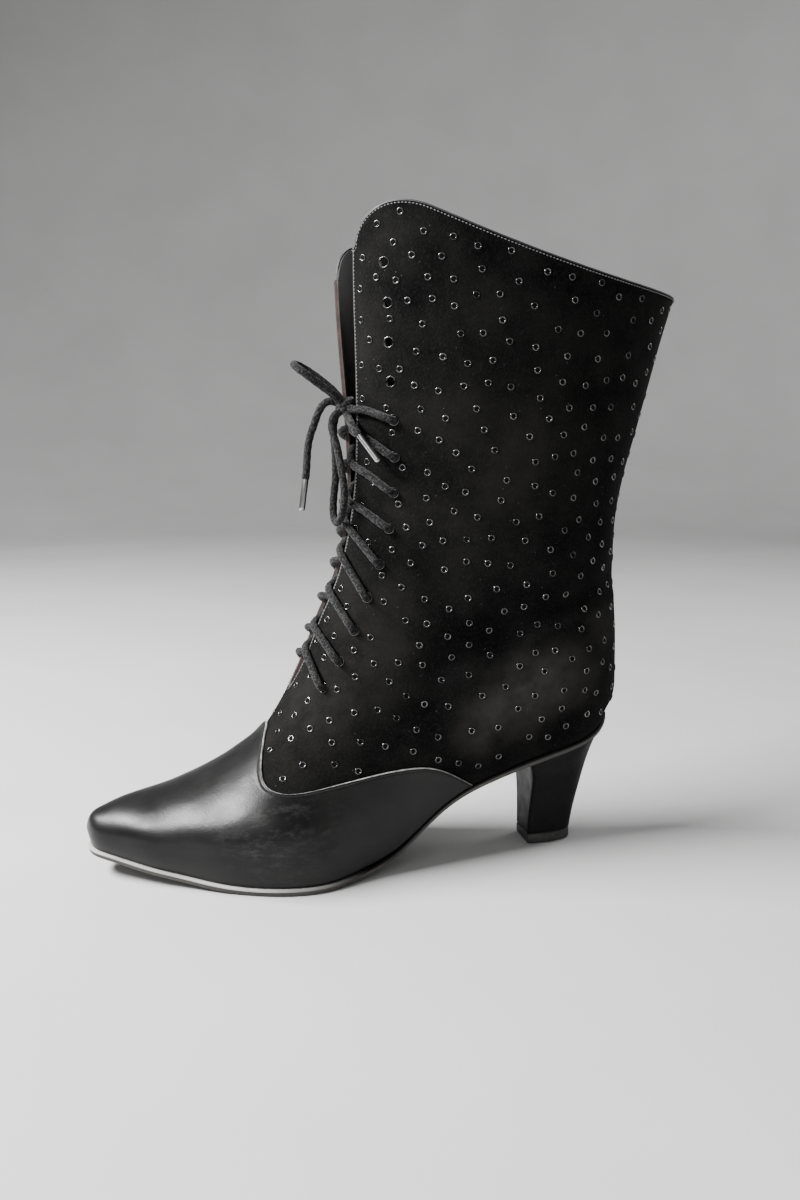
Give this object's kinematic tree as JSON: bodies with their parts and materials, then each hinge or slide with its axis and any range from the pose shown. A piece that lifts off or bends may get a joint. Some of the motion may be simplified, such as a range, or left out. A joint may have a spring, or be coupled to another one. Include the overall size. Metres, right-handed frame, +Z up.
{
  "type": "lace-up boot",
  "caption": "Black lace-up boot with a suede shaft dotted with small metal eyelets, smooth leather vamp, pointed toe, thin sole and covered heel.",
  "frame": {"origin": "middle of the heel's ground face, on the floor", "axes": "+X to the toe, +Y to the outer side of the left foot, +Z up"},
  "size_m": [0.2788, 0.0889, 0.2987],
  "materials": {
    "suede": "black suede, matt nap",
    "smooth_leather": "black smooth leather, soft gloss",
    "sole_leather": "dark sole leather with a pale edge round the forefoot",
    "heel_cover": "black leather cover",
    "rubber": "matt black",
    "lining": "dark brown lining leather",
    "cord": "black braided lace",
    "metal": "dark nickel, worn bright"
  },
  "bodies": {
    "root": {"upper": "suede", "vamp": "smooth_leather", "tongue": "smooth_leather", "outsole": "sole_leather", "insole": "lining", "heel": "heel_cover", "heel_top_piece": "rubber", "lace_cross_1": "cord", "lace_cross_2": "cord", "lace_cross_3": "cord", "lace_cross_4": "cord", "lace_cross_5": "cord", "lace_cross_6": "cord", "lace_cross_7": "cord", "lace_cross_8": "cord", "lace_top_outer": "cord", "lace_top_inner": "cord", "lace_knot": "cord", "lace_loop_up": "cord", "lace_loop_down": "cord", "lace_end_left": "cord", "lace_end_right": "cord", "aglet_left": "metal", "aglet_right": "metal"}
  },
  "joints": []
}
